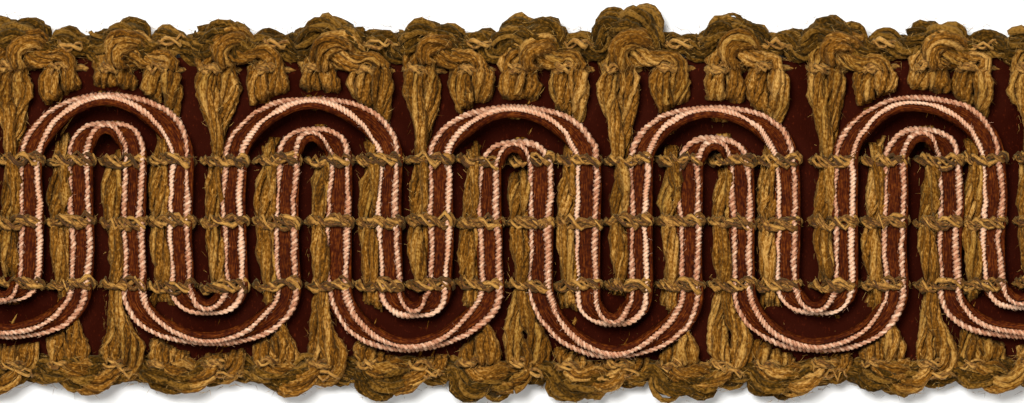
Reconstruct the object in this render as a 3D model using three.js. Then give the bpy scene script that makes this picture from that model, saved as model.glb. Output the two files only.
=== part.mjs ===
// A cut length of scroll gimp, a flat upholstery braid lying face up. Bulky yarn goes back and forth
// across the braid and turns in loops at both edges. Two flat gimp bands lie on it side by side as one
// serpentine. The sizes are in millimetres: X runs along the braid, Y across it and Z up from its back.
import {
  BufferAttribute,
  BufferGeometry,
  ExtrudeGeometry,
  Group,
  Mesh,
  MeshStandardMaterial,
  Shape,
  ShapeUtils,
  Vector2,
} from 'three';
import { mergeVertices } from 'three/addons/utils/BufferGeometryUtils.js';

// Length of the braid
const COURSE = 1.66; // from one pass of the weft to the next
const LEGS_PER_REPEAT = 4; // each course carries one leg of a band, and four make one repeat of the scroll
const LEG_OFFSET = 0.35; // a leg lies this far to the right of the middle of its course

// Where the bands run across the braid
const LEG_TOP = 1.47;
const LEG_BOTTOM = -2.65;
const ARCH_OUTER = 3.32; // the usual height of an arch's outer line at the top of the braid
const ARCH_INNER = 2.29;
const TURN_OUTER = -4.52; // and of a turn's outer line at the bottom
const TURN_INNER = -3.46;

// Where the weft is sewn down along each heading, and where its edge runs between the loops
const CHAIN_TOP = 4.55;
const CHAIN_BOTTOM = -5.2;
const EDGE_TOP = 5.72;
const EDGE_BOTTOM = -6;
const LOOP_HALF_WIDTH = 1.25;
const BACK_INSET = 0.25; // the back is this much narrower at each edge, where the loops round under
const BACK_MARGIN = 1.5; // the plain middle of the back stops this far inside the braid's outline

// The bed that the weft leaves under the bands
const BED_HEIGHT = 0.96;
const BED_REACH = 0.75; // the weft stays in the bed this far from a band's middle
const BED_RELEASE = 1.2; // and is free of it from here

// The bands
const BAND_WIDTH = 0.84;
const BAND_THICKNESS = 0.3;
const BAND_WEB = 0.18; // thickness between the two cords
const CORD_PLACE = 0.29; // from the band's middle to the top of each cord
const CORD_SHOULDER = 0.13; // half the width of a cord
const BAND_BASE = 1.3;
const BAND_END = 0.12; // a cut band stops this far inside the cut weft
const ROLL_AT_APEX = 1.9; // radians: the band tips up on its outer edge where it turns, and leans out
const OUTER_ARC_STEPS = 8;
const INNER_ARC_STEPS = 6;

// One row for each repeat, from the left end of the braid. leg1 to leg4: how far each leg stands to the
// right of even spacing. arch, archInner, turn and turnInner: how far those lines reach out past their
// usual height, the turn being the one at the repeat's right. loop1 and loop3: how far the first and
// third course stand out of the top edge. loop2 and loop4: the same for the others at the bottom edge.
const repeats = [
  {
    leg1: 0, leg2: -0.06, leg3: 0.05, leg4: 0.08, arch: 0.05, archInner: 0.1, turn: -0.29, turnInner: -0.33,
    loop1: 0.4, loop2: 0.3, loop3: 0.35, loop4: 0.2,
  },
  {
    leg1: 0.05, leg2: 0.04, leg3: 0.1, leg4: -0.03, arch: 0.23, archInner: 0.31, turn: -0.03, turnInner: -0.01,
    loop1: 0.43, loop2: 0.15, loop3: 0.3, loop4: 0.32,
  },
  {
    leg1: 0.07, leg2: 0.11, leg3: 0.16, leg4: 0.13, arch: 0.1, archInner: 0.12, turn: 0.14, turnInner: 0.09,
    loop1: 0.3, loop2: 0.28, loop3: 0.43, loop4: 0.45,
  },
  {
    leg1: 0.11, leg2: 0.08, leg3: 0.05, leg4: -0.05, arch: -0.19, archInner: -0.34, turn: 0.33, turnInner: 0.38,
    loop1: 0.43, loop2: 0.5, loop3: 0.53, loop4: 0.45,
  },
  {
    leg1: -0.05, leg2: -0.03, leg3: 0, leg4: -0.2, arch: -0.23, archInner: -0.17, turn: 0.14, turnInner: 0.02,
    loop1: 0.79, loop2: 0.45, loop3: 0.56, loop4: 0.35,
  },
  {
    leg1: 0, leg2: -0.01, leg3: 0.12, leg4: -0.14, arch: 0.1, archInner: 0.09, turn: -0.29, turnInner: -0.14,
    loop1: 0.4, loop2: 0.19, loop3: 0.3, loop4: 0.15,
  },
  {
    leg1: 0.02, leg2: 0.06, leg3: -0.04, leg4: 0, arch: -0.04, archInner: 0.05, turn: 0, turnInner: 0,
    loop1: 0.15, loop2: 0.3, loop3: 0.35, loop4: 0.3,
  },
];
const COURSE_COUNT = repeats.length * LEGS_PER_REPEAT;
const LENGTH = COURSE_COUNT * COURSE;
const BAND_LIMIT = LENGTH / 2 - BAND_END;

// The surface of one course of weft, from the groove at its left towards the next one. across is -1 in
// the left groove and 1 in the right one, and rise is 0 in the groove and 1 on the crown.
const courseSection = [
  { across: -1, rise: 0 },
  { across: -0.64, rise: 0.7 },
  { across: -0.22, rise: 1 },
  { across: 0.22, rise: 1 },
  { across: 0.64, rise: 0.7 },
];

// A heading, from its edge in to its row of stitches. out is 1 at the edge and 0 at the stitches.
const headingRows = [
  { out: 1, crown: 0.95, groove: 0.85 },
  { out: 0.84, crown: 1.7, groove: 1.3 },
  { out: 0.45, crown: 2.05, groove: 1.4 },
  { out: 0, crown: 1.5, groove: 1.15 },
];

// The weft between the two rows of heading stitches, from the top of the braid down
const bodyRows = [
  { y: 4.1, crown: 1.9, groove: 0.95 },
  { y: 3.5, crown: 1.7, groove: 0.7 },
  { y: 2.8, crown: 1.4, groove: 0.6 },
  { y: 2.1, crown: 1.15, groove: 0.6 },
  { y: 1.47, crown: 0.92, groove: 0.6 },
  { y: 0.46, crown: 0.98, groove: 0.6 },
  { y: -0.55, crown: 0.92, groove: 0.6 },
  { y: -1.6, crown: 0.98, groove: 0.6 },
  { y: -2.6, crown: 0.92, groove: 0.6 },
  { y: -3.4, crown: 1.25, groove: 0.6 },
  { y: -4.1, crown: 1.6, groove: 0.7 },
  { y: -4.75, crown: 1.85, groove: 0.95 },
];

// Finds how far a leg stands to the right of even spacing. Past the cut ends the spacing is even.
function legShift(leg) {
  const row = repeats[Math.floor(leg / LEGS_PER_REPEAT)];
  const place = ((leg % LEGS_PER_REPEAT) + LEGS_PER_REPEAT) % LEGS_PER_REPEAT;
  return row ? [row.leg1, row.leg2, row.leg3, row.leg4][place] : 0;
}

// The middle of a course of weft, and of the leg that it carries
function courseMiddle(course) {
  return (course + 0.5) * COURSE - LENGTH / 2 + legShift(course);
}

function legMiddle(leg) {
  return courseMiddle(leg) + LEG_OFFSET;
}

// The groove at the left of a course. The braid is cut along its first and last grooves.
function grooveBefore(course) {
  if (course <= 0) return -LENGTH / 2;
  if (course >= COURSE_COUNT) return LENGTH / 2;
  return (courseMiddle(course - 1) + courseMiddle(course)) / 2;
}

// The smooth step from 0 at low to 1 at high
function smoothStep(value, low, high) {
  const t = Math.min(Math.max((value - low) / (high - low), 0), 1);
  return t * t * (3 - 2 * t);
}

// Half a turn of a band, from one leg to the next, whose far point is at apexY. An outer line is a half
// ellipse that leaves its legs at legEnd, and an inner line is a half circle. The band's inner edge tips
// up towards the middle of the arc.
function arcStations(fromX, toX, apexY, legEnd, isOuter) {
  const middle = (fromX + toX) / 2;
  const half = (toX - fromX) / 2;
  const side = Math.sign(apexY - legEnd);
  const reach = isOuter ? apexY - legEnd : side * half;
  const steps = isOuter ? OUTER_ARC_STEPS : INNER_ARC_STEPS;
  const stations = [];
  for (let step = 0; step <= steps; step += 1) {
    const angle = (Math.PI * step) / steps;
    const roll = side * ROLL_AT_APEX * Math.sin(angle) ** 2;
    stations.push({ x: middle - half * Math.cos(angle), y: apexY - reach * (1 - Math.sin(angle)), roll });
  }
  return stations;
}

// The route of one band along the braid. It goes up one leg of each repeat, over an arch that spans a
// number of courses, down another leg and through a turn to the next repeat.
function bandRoute(firstLeg, archSpan) {
  const outerArch = archSpan > LEGS_PER_REPEAT / 2;
  const legMiddleY = (LEG_TOP + LEG_BOTTOM) / 2;
  const usual = { arch: 0, archInner: 0, turn: 0, turnInner: 0 };
  const stations = [];
  for (let repeat = -1; repeat <= repeats.length; repeat += 1) {
    const row = repeats[repeat] ?? usual;
    const up = legMiddle(repeat * LEGS_PER_REPEAT + firstLeg);
    const down = legMiddle(repeat * LEGS_PER_REPEAT + firstLeg + archSpan);
    const next = legMiddle((repeat + 1) * LEGS_PER_REPEAT + firstLeg);
    const archY = outerArch ? ARCH_OUTER + row.arch : ARCH_INNER + row.archInner;
    const turnY = outerArch ? TURN_INNER - row.turnInner : TURN_OUTER - row.turn;
    stations.push(
      { x: up, y: legMiddleY, roll: 0 },
      ...arcStations(up, down, archY, LEG_TOP, outerArch),
      { x: down, y: legMiddleY, roll: 0 },
      ...arcStations(down, next, turnY, LEG_BOTTOM, !outerArch),
    );
  }
  return stations.filter((station) => Math.abs(station.x) < BAND_LIMIT);
}

const routeA = bandRoute(0, 3);
const routeB = bandRoute(1, 1);

// How far a place is from the middle line of the nearest band
function distanceToBands(x, y) {
  let nearest = Infinity;
  for (const route of [routeA, routeB]) {
    for (let index = 1; index < route.length; index += 1) {
      const start = new Vector2(route[index - 1].x, route[index - 1].y);
      const along = new Vector2(route[index].x, route[index].y).sub(start);
      const offset = new Vector2(x, y).sub(start);
      const part = Math.min(Math.max(offset.dot(along) / along.lengthSq(), 0), 1);
      nearest = Math.min(nearest, offset.addScaledVector(along, -part).length());
    }
  }
  return nearest;
}

// How far the loops stand out of an edge at one place along it
function loopReach(x, atTop) {
  let reach = 0;
  for (let course = atTop ? 0 : 1; course < COURSE_COUNT; course += 2) {
    const row = repeats[Math.floor(course / LEGS_PER_REPEAT)];
    const height = [row.loop1, row.loop2, row.loop3, row.loop4][course % LEGS_PER_REPEAT];
    const offset = Math.abs(x - courseMiddle(course)) / LOOP_HALF_WIDTH;
    if (offset < 1) reach = Math.max(reach, height * Math.sqrt(1 - offset * offset));
  }
  return reach;
}

// The columns of points along the braid: where each is, and how high it stands between groove and crown
function groundColumns() {
  const columns = [];
  for (let course = 0; course < COURSE_COUNT; course += 1) {
    const left = grooveBefore(course);
    const right = grooveBefore(course + 1);
    for (const { across, rise } of courseSection) {
      columns.push({ x: left + ((across + 1) / 2) * (right - left), rise });
    }
  }
  columns.push({ x: LENGTH / 2, rise: 0 });
  return columns;
}

// The points of one column, from the top edge of the braid down to the bottom edge
function columnPoints({ x, rise }) {
  const topEdge = EDGE_TOP + loopReach(x, true);
  const bottomEdge = EDGE_BOTTOM - loopReach(x, false);
  const placed = [
    ...headingRows.map((row) => ({ ...row, y: CHAIN_TOP + row.out * (topEdge - CHAIN_TOP) })),
    ...bodyRows,
    ...headingRows.map((row) => ({ ...row, y: CHAIN_BOTTOM + row.out * (bottomEdge - CHAIN_BOTTOM) })).reverse(),
  ];
  return placed.map(({ y, crown, groove }) => {
    const free = groove + rise * (crown - groove);
    const release = smoothStep(distanceToBands(x, y), BED_REACH, BED_RELEASE);
    const bed = Math.min(free, BED_HEIGHT);
    return [x, y, bed + release * (free - bed)];
  });
}

// The filling weft: one body with a rib for each course, loops along both edges and a flat back
function weftGround() {
  const columns = groundColumns().map(columnPoints);
  const rowCount = columns[0].length;
  const lastRow = rowCount - 1;
  const lastColumn = columns.length - 1;
  const points = columns.flat();
  const triangles = [];
  const gridPoint = (column, row) => column * rowCount + row;
  for (let column = 0; column < lastColumn; column += 1) {
    for (let row = 0; row < lastRow; row += 1) {
      const here = gridPoint(column, row);
      const right = gridPoint(column + 1, row);
      triangles.push(here, here + 1, right + 1, here, right + 1, right);
    }
  }

  // The rim of the face, counter-clockwise from above, and the outline of the back under it
  const rim = [];
  for (let column = 0; column < lastColumn; column += 1) rim.push(gridPoint(column, lastRow));
  for (let row = lastRow; row > 0; row -= 1) rim.push(gridPoint(lastColumn, row));
  for (let column = lastColumn; column > 0; column -= 1) rim.push(gridPoint(column, 0));
  for (let row = 0; row < lastRow; row += 1) rim.push(gridPoint(0, row));
  const narrowing = (EDGE_TOP - BACK_INSET) / EDGE_TOP;
  const outline = rim.map((index) => new Vector2(points[index][0], points[index][1] * narrowing));
  const firstBackPoint = points.length;
  const middleX = LENGTH / 2 - BACK_MARGIN;
  const middleY = EDGE_TOP - BACK_MARGIN;
  const middle = [
    new Vector2(-middleX, -middleY),
    new Vector2(middleX, -middleY),
    new Vector2(middleX, middleY),
    new Vector2(-middleX, middleY),
  ];
  const backPoints = [...outline, ...middle];
  points.push(...backPoints.map(({ x, y }) => [x, y, 0]));
  for (let index = 0; index < rim.length; index += 1) {
    const next = (index + 1) % rim.length;
    const under = firstBackPoint + index;
    const underNext = firstBackPoint + next;
    triangles.push(rim[index], under, underNext, rim[index], underNext, rim[next]);
  }
  for (const [a, b, c] of ShapeUtils.triangulateShape(outline, [middle])) {
    triangles.push(firstBackPoint + a, firstBackPoint + c, firstBackPoint + b);
  }
  const corner = firstBackPoint + outline.length;
  triangles.push(corner, corner + 2, corner + 1, corner, corner + 3, corner + 2);

  const geometry = new BufferGeometry();
  geometry.setAttribute('position', new BufferAttribute(new Float32Array(points.flat()), 3));
  geometry.setIndex(triangles);
  return geometry;
}

// The section of a band: a flat strip with a cord raised along each edge
function bandSection() {
  const half = BAND_WIDTH / 2;
  const middleHeight = BAND_THICKNESS / 2;
  const web = BAND_WEB - middleHeight;
  return new Shape([
    new Vector2(-half, -middleHeight),
    new Vector2(half, -middleHeight),
    new Vector2(half, web),
    new Vector2(CORD_PLACE, middleHeight),
    new Vector2(CORD_PLACE - CORD_SHOULDER, web),
    new Vector2(CORD_SHOULDER - CORD_PLACE, web),
    new Vector2(-CORD_PLACE, middleHeight),
    new Vector2(-half, web),
  ]);
}

// Lays a straight strip along a route. Each section turns with the route, rolls about its own middle and
// is lifted until its lowest point is level with the base. What would pass a cut end is trimmed to it.
function layBand(route) {
  const steps = route.length - 1;
  const strip = new ExtrudeGeometry(bandSection(), { depth: 1, steps, bevelEnabled: false });
  strip.deleteAttribute('normal');
  strip.deleteAttribute('uv');
  const position = strip.getAttribute('position');
  const corners = bandSection().getPoints();
  for (let index = 0; index < position.count; index += 1) {
    const place = Math.round(position.getZ(index) * steps);
    const { x, y, roll } = route[place];
    const before = route[Math.max(place - 1, 0)];
    const after = route[Math.min(place + 1, steps)];
    const heading = Math.atan2(after.y - before.y, after.x - before.x);
    const cos = Math.cos(roll);
    const sin = Math.sin(roll);
    const left = position.getX(index) * cos + position.getY(index) * sin;
    const height = (across, up) => up * cos - across * sin;
    const lowest = Math.min(...corners.map((corner) => height(corner.x, corner.y)));
    const z = BAND_BASE + height(position.getX(index), position.getY(index)) - lowest;
    const along = Math.min(Math.max(x - left * Math.sin(heading), -BAND_LIMIT), BAND_LIMIT);
    position.setXYZ(index, along, y + left * Math.cos(heading), z);
  }
  return mergeVertices(strip, 1e-5);
}

const yarnMaterial = new MeshStandardMaterial({ color: 0x7d5420, roughness: 0.9, metalness: 0 });
const bandMaterial = new MeshStandardMaterial({ color: 0xa8704e, roughness: 0.6, metalness: 0 });

function addMesh(group, name, geometry, material) {
  const mesh = new Mesh(geometry, material);
  mesh.name = name;
  group.add(mesh);
}

const braid = new Group();
addMesh(braid, 'weft_ground', weftGround(), yarnMaterial);
addMesh(braid, 'gimp_band_a', layBand(routeA), bandMaterial);
addMesh(braid, 'gimp_band_b', layBand(routeB), bandMaterial);

export default braid;
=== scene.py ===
"""A cut length of scroll gimp braid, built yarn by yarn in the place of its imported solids.

Sizes are in millimetres until a mesh is made of them. The frame is that of the solids: X runs along the
braid, Y across it and Z up from its back.
"""

import logging
import math
from dataclasses import dataclass, field
from enum import Enum, IntEnum
from typing import Iterable, Sequence

import bpy
import numpy as np
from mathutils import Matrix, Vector


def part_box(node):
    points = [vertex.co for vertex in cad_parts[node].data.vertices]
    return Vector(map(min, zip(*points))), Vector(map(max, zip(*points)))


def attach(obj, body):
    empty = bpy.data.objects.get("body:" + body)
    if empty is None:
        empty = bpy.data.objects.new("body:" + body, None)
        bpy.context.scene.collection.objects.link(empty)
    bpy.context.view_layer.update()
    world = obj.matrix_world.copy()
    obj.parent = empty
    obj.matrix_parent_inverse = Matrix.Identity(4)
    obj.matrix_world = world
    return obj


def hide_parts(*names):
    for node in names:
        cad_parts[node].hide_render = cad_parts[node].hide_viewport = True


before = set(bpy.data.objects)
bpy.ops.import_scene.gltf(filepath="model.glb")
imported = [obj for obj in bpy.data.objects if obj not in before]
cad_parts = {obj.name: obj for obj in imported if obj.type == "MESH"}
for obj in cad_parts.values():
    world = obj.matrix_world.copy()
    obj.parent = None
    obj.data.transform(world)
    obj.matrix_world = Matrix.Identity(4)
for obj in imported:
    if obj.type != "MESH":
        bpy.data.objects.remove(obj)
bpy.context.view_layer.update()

MM = 0.001
TURN = 2 * math.pi
LEAST_LENGTH = 1e-9
SPARE_KNOTS = 4
ROOT_BODY = "root"

log = logging.getLogger("gimp_braid")


# The plan of the braid


@dataclass(frozen=True)
class Repeat:
    """How one repeat of the scroll departs from the even pattern.

    legs holds how far each of its four legs stands to the right of even spacing. arch, arch_inner, turn
    and turn_inner are how far those lines reach past their usual height, and loops is how far the loop of
    each course stands out of its edge: the first and third at the top, the others at the bottom.
    """

    legs: tuple[float, float, float, float]
    arch: float
    arch_inner: float
    turn: float
    turn_inner: float
    loops: tuple[float, float, float, float]


EVEN_REPEAT = Repeat((0, 0, 0, 0), 0, 0, 0, 0, (0.35, 0.3, 0.35, 0.3))

REPEATS = (
    Repeat((0, -0.06, 0.05, 0.08), 0.05, 0.1, -0.29, -0.33, (0.4, 0.3, 0.35, 0.2)),
    Repeat((0.05, 0.04, 0.1, -0.03), 0.23, 0.31, -0.03, -0.01, (0.43, 0.15, 0.3, 0.32)),
    Repeat((0.07, 0.11, 0.16, 0.13), 0.1, 0.12, 0.14, 0.09, (0.3, 0.28, 0.43, 0.45)),
    Repeat((0.11, 0.08, 0.05, -0.05), -0.19, -0.34, 0.33, 0.38, (0.43, 0.5, 0.53, 0.45)),
    Repeat((-0.05, -0.03, 0, -0.2), -0.23, -0.17, 0.14, 0.02, (0.79, 0.45, 0.56, 0.35)),
    Repeat((0, -0.01, 0.12, -0.14), 0.1, 0.09, -0.29, -0.14, (0.4, 0.19, 0.3, 0.15)),
    Repeat((0.02, 0.06, -0.04, 0), -0.04, 0.05, 0, 0, (0.15, 0.3, 0.35, 0.3)),
)


@dataclass(frozen=True)
class BraidLayout:
    """Where the courses of weft and the legs of the bands stand, worked out from the braid's box.

    leg_offset is how far right of its course's middle a leg is. The other places are across the braid:
    the ends of the legs, the far points of the outer and the inner line, and the edges.
    """

    length: float
    repeats: tuple[Repeat, ...] = REPEATS
    legs_per_repeat: int = 4
    leg_offset: float = 0.35
    leg_top: float = 1.47
    leg_bottom: float = -2.65
    arch_outer: float = 3.32
    arch_inner: float = 2.29
    turn_outer: float = -4.52
    turn_inner: float = -3.46
    edge_top: float = 5.72
    edge_bottom: float = -6.0

    @property
    def course_count(self) -> int:
        """The number of times that the weft crosses the braid."""
        return len(self.repeats) * self.legs_per_repeat

    @property
    def course(self) -> float:
        """The spacing of the courses."""
        return self.length / self.course_count

    def repeat_of(self, course: int) -> Repeat:
        """The repeat that a course belongs to, or an even one past the cut ends."""
        index = course // self.legs_per_repeat
        return self.repeats[index] if 0 <= index < len(self.repeats) else EVEN_REPEAT

    def course_middle(self, course: int) -> float:
        """The middle of a course of weft, along the braid."""
        shift = self.repeat_of(course).legs[course % self.legs_per_repeat]
        return (course + 0.5) * self.course - self.length / 2 + shift

    def leg_middle(self, leg: int) -> float:
        """The middle of the band's leg that a course carries."""
        return self.course_middle(leg) + self.leg_offset

    def loop_edge(self, course: int) -> float:
        """How far out the loop of a course reaches: to the top edge for an even one."""
        reach = self.repeat_of(course).loops[course % self.legs_per_repeat]
        return self.edge_top + reach if course % 2 == 0 else self.edge_bottom - reach


# Lines, frames and small unevenness


def ease(value: np.ndarray, low: float, high: float) -> np.ndarray:
    """The smooth step from 0 at low to 1 at high."""
    share = np.clip((value - low) / (high - low), 0.0, 1.0)
    return share * share * (3 - 2 * share)


@dataclass(frozen=True)
class Swing:
    """Slow random unevenness: the distance from one swing to the next and the usual size of a swing."""

    wave: float
    amount: float

    def along(self, distance: np.ndarray, rng: np.random.Generator) -> np.ndarray:
        """Draws the unevenness along a line.

        Args:
            distance: How far each point is along the line.
            rng: The source of random numbers.

        Returns:
            One value for each point.
        """
        span = max(float(distance[-1] - distance[0]), self.wave)
        # The spare knots keep the first and the last point between two of them
        count = int(math.ceil(span / self.wave)) + SPARE_KNOTS
        knots = rng.normal(0.0, self.amount, count)
        place = (distance - distance[0]) / self.wave + 1.0
        index = np.clip(np.floor(place).astype(int), 1, count - SPARE_KNOTS + 1)
        eased = ease(place - index, 0.0, 1.0)
        return knots[index] * (1 - eased) + knots[index + 1] * eased


def even_stations(line: np.ndarray, spacing: float, fineness: np.ndarray | None = None) -> np.ndarray:
    """Resamples a line at an even spacing.

    Args:
        line: One row for each point. Its place is in the first two columns, or three where it has more.
        spacing: The distance between stations.
        fineness: How many times closer the stations stand at each point, if not evenly.

    Returns:
        The rows at the stations, with every column interpolated.
    """
    place = line[:, :2] if line.shape[1] <= 3 else line[:, :3]
    steps = np.linalg.norm(np.diff(place, axis=0), axis=1)
    if fineness is not None:
        steps = steps * (fineness[:-1] + fineness[1:]) / 2
    along = np.concatenate([[0.0], np.cumsum(steps)])
    count = max(int(math.ceil(along[-1] / spacing)), 2) + 1
    wanted = np.linspace(0.0, along[-1], count)
    columns = [np.interp(wanted, along, line[:, column]) for column in range(line.shape[1])]
    return np.column_stack(columns)


def smooth_line(rows: Sequence[Sequence[float]], per_span: int = 14) -> np.ndarray:
    """Runs a smooth curve through rows of control values.

    Args:
        rows: The control rows, with the place in the first three columns.
        per_span: The number of points from one row to the next.

    Returns:
        A dense row of points on the curve, with every column smoothed.
    """
    knots = np.asarray(rows, float)
    padded = np.vstack([2 * knots[0] - knots[1], knots, 2 * knots[-1] - knots[-2]])[:, None, :]
    before, start, end, after = padded[:-3], padded[1:-2], padded[2:-1], padded[3:]
    share = (np.arange(per_span) / per_span)[None, :, None]
    # The usual weights of a Catmull-Rom curve, which goes through every row
    spans = 0.5 * (
        2 * start
        + (end - before) * share
        + (2 * before - 5 * start + 4 * end - after) * share**2
        + (3 * start - before - 3 * end + after) * share**3
    )
    return np.vstack([spans.reshape(-1, knots.shape[1]), knots[-1]])


def distances(points: np.ndarray) -> np.ndarray:
    """The distance along a line from its first point to each point."""
    steps = np.linalg.norm(np.diff(points, axis=0), axis=1)
    return np.concatenate([[0.0], np.cumsum(steps)])


def unit(vectors: np.ndarray) -> np.ndarray:
    """The same vectors, each with a length of one."""
    return vectors / np.maximum(np.linalg.norm(vectors, axis=-1, keepdims=True), LEAST_LENGTH)


def level_frame(points: np.ndarray) -> tuple[np.ndarray, np.ndarray]:
    """The directions beside a line that runs along the cloth, with left kept level.

    Args:
        points: The line.

    Returns:
        The directions left of it and up from it, at each point.
    """
    forward = unit(np.gradient(points, axis=0))
    left = unit(np.cross(np.array([0.0, 0.0, 1.0]), forward))
    return left, np.cross(forward, left)


def sideways_frame(points: np.ndarray) -> tuple[np.ndarray, np.ndarray]:
    """The directions beside a line that climbs and dives along X, with left kept near +Y.

    Args:
        points: The line.

    Returns:
        The directions left of it and up from it, at each point.
    """
    forward = unit(np.gradient(points, axis=0))
    side = np.array([0.0, 1.0, 0.0])
    left = unit(side - forward * (forward @ side)[:, None])
    return left, np.cross(forward, left)


# Objects and meshes


def add_object(name: str, data: bpy.types.ID) -> bpy.types.Object:
    """Adds an object to the scene.

    Args:
        name: Its name.
        data: The mesh, light or camera that it shows.

    Returns:
        The object.
    """
    made = bpy.data.objects.new(name, data)
    bpy.context.scene.collection.objects.link(made)
    return made


def make_piece(mesh: bpy.types.Mesh, material: bpy.types.Material) -> bpy.types.Object:
    """Makes a piece of the braid of a mesh, shaded smooth.

    Args:
        mesh: The mesh, which the piece is named after.
        material: Its material.

    Returns:
        The piece.
    """
    mesh.shade_smooth()
    mesh.materials.append(material)
    return add_object(mesh.name, mesh)


@dataclass
class YarnMesh:
    """Gathers closed tubes, in millimetres, and makes one mesh object of them.

    uv_shift moves the yarn coordinates of each tube by its tint, so that no two show the same fibres.
    """

    name: str
    uv_shift: float = 37.0
    points: list[np.ndarray] = field(default_factory=list)
    quads: list[np.ndarray] = field(default_factory=list)
    caps: list[np.ndarray] = field(default_factory=list)
    quad_uvs: list[np.ndarray] = field(default_factory=list)
    tints: list[np.ndarray] = field(default_factory=list)
    point_count: int = 0

    def add_tube(
        self,
        line: np.ndarray,
        frame_of_line: tuple[np.ndarray, np.ndarray],
        section: np.ndarray,
        tint: float,
    ) -> None:
        """Adds one closed tube.

        Args:
            line: The middle of the tube, a point for each station.
            frame_of_line: The directions left and up at each station.
            section: Left and up offsets of each corner at each station, counter-clockwise from behind.
            tint: A number from 0 to 1 that the finish uses to tell one strand from the next.
        """
        left, up = frame_of_line
        corners = line[:, None, :] + section[..., :1] * left[:, None, :] + section[..., 1:] * up[:, None, :]
        stations, sides = section.shape[:2]
        station = np.arange(stations - 1)[:, None]
        side = np.arange(sides)[None, :]
        here = self.point_count + station * sides + side
        beside = self.point_count + station * sides + (side + 1) % sides
        quads = np.stack([here, beside, beside + sides, here + sides], axis=-1)
        along = distances(line)
        edge = np.linalg.norm(section[0] - np.roll(section[0], -1, axis=0), axis=-1)
        around = np.concatenate([[0.0], np.cumsum(edge)])
        u_low = np.broadcast_to(along[:-1, None], (stations - 1, sides))
        u_high = np.broadcast_to(along[1:, None], (stations - 1, sides))
        v_low = np.broadcast_to(around[None, :-1], (stations - 1, sides))
        v_high = np.broadcast_to(around[None, 1:], (stations - 1, sides))
        offset = tint * self.uv_shift
        corner_uvs = [(u_low, v_low), (u_low, v_high), (u_high, v_high), (u_high, v_low)]
        uvs = np.stack([np.stack([u + offset, v], axis=-1) for u, v in corner_uvs], axis=2)
        self.points.append(corners.reshape(-1, 3))
        self.quads.append(quads.reshape(-1, 4))
        self.quad_uvs.append(uvs.reshape(-1, 4, 2))
        last = self.point_count + (stations - 1) * sides
        self.caps.append(np.arange(self.point_count + sides - 1, self.point_count - 1, -1))
        self.caps.append(np.arange(last, last + sides))
        self.tints.append(np.full(stations * sides, tint))
        self.point_count += stations * sides

    def build(self, material: bpy.types.Material) -> bpy.types.Object:
        """Makes the mesh object, with its strand tints and its yarn coordinates.

        Args:
            material: Its material.

        Returns:
            The object.
        """
        points = np.vstack(self.points) * MM
        quads = np.vstack(self.quads)
        cap_sizes = np.array([len(cap) for cap in self.caps], dtype=np.int32)
        corners = np.concatenate([quads.ravel(), *self.caps]).astype(np.int32)
        totals = np.concatenate([np.full(len(quads), 4, dtype=np.int32), cap_sizes])
        starts = np.concatenate([[0], np.cumsum(totals)[:-1]]).astype(np.int32)
        mesh = bpy.data.meshes.new(self.name)
        mesh.vertices.add(len(points))
        mesh.vertices.foreach_set("co", points.astype(np.float32).ravel())
        mesh.loops.add(len(corners))
        mesh.loops.foreach_set("vertex_index", corners)
        mesh.polygons.add(len(totals))
        mesh.polygons.foreach_set("loop_start", starts)
        mesh.polygons.foreach_set("loop_total", totals)
        uvs = np.zeros((len(corners), 2), dtype=np.float32)
        quad_uvs = np.vstack(self.quad_uvs).reshape(-1, 2)
        uvs[: len(quad_uvs)] = quad_uvs
        layer = mesh.uv_layers.new(name="Yarn")
        layer.uv.foreach_set("vector", uvs.ravel())
        attribute = mesh.attributes.new("tint", "FLOAT", "POINT")
        attribute.data.foreach_set("value", np.concatenate(self.tints).astype(np.float32))
        mesh.update(calc_edges=True)
        return make_piece(mesh, material)


def on_circle(angles: np.ndarray) -> np.ndarray:
    """The points at some angles on a circle with a radius of one."""
    return np.column_stack([np.cos(angles), np.sin(angles)])


def circle(sides: int) -> np.ndarray:
    """The corners of an even polygon with a radius of one, counter-clockwise."""
    return on_circle(np.arange(sides) * TURN / sides)


# Finishes


def linear(hex_colour: str) -> tuple[float, float, float, float]:
    """Turns an sRGB colour into linear light.

    Args:
        hex_colour: The colour, as # and six digits.

    Returns:
        Red, green, blue and full alpha.
    """
    # The numbers are those of the sRGB standard
    channels = [int(hex_colour[place : place + 2], 16) / 255 for place in (1, 3, 5)]
    light = [c / 12.92 if c <= 0.04045 else ((c + 0.055) / 1.055) ** 2.4 for c in channels]
    return (light[0], light[1], light[2], 1.0)


def add_node(
    tree: bpy.types.NodeTree,
    kind: str,
    settings: dict[str, object] | None = None,
    inputs: dict[str | int, object] | None = None,
) -> bpy.types.Node:
    """Adds one node.

    Args:
        tree: The node tree that it goes into.
        kind: The node's Blender type.
        settings: Its properties, by name.
        inputs: Its inputs, by name or number: a value, or an output socket to link.

    Returns:
        The new node.
    """
    node = tree.nodes.new(kind)
    for name, value in (settings or {}).items():
        setattr(node, name, value)
    for name, value in (inputs or {}).items():
        if isinstance(value, bpy.types.NodeSocket):
            tree.links.new(value, node.inputs[name])
        else:
            node.inputs[name].default_value = value
    return node


def set_ramp(node: bpy.types.Node, stops: Sequence[tuple[float, str]]) -> None:
    """Gives a colour ramp its stops.

    Args:
        node: The ramp.
        stops: The place and the sRGB hex colour of each stop, from left to right.
    """
    elements = node.color_ramp.elements
    while len(elements) < len(stops):
        elements.new(stops[-1][0])
    for element, (place, colour) in zip(elements, stops):
        element.position = place
        element.color = linear(colour)


class MixSocket(Enum):
    """The sockets of a mix node that deal with colours, by number."""

    FACTOR = 0
    FIRST = 6
    SECOND = 7
    RESULT = 2


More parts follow.
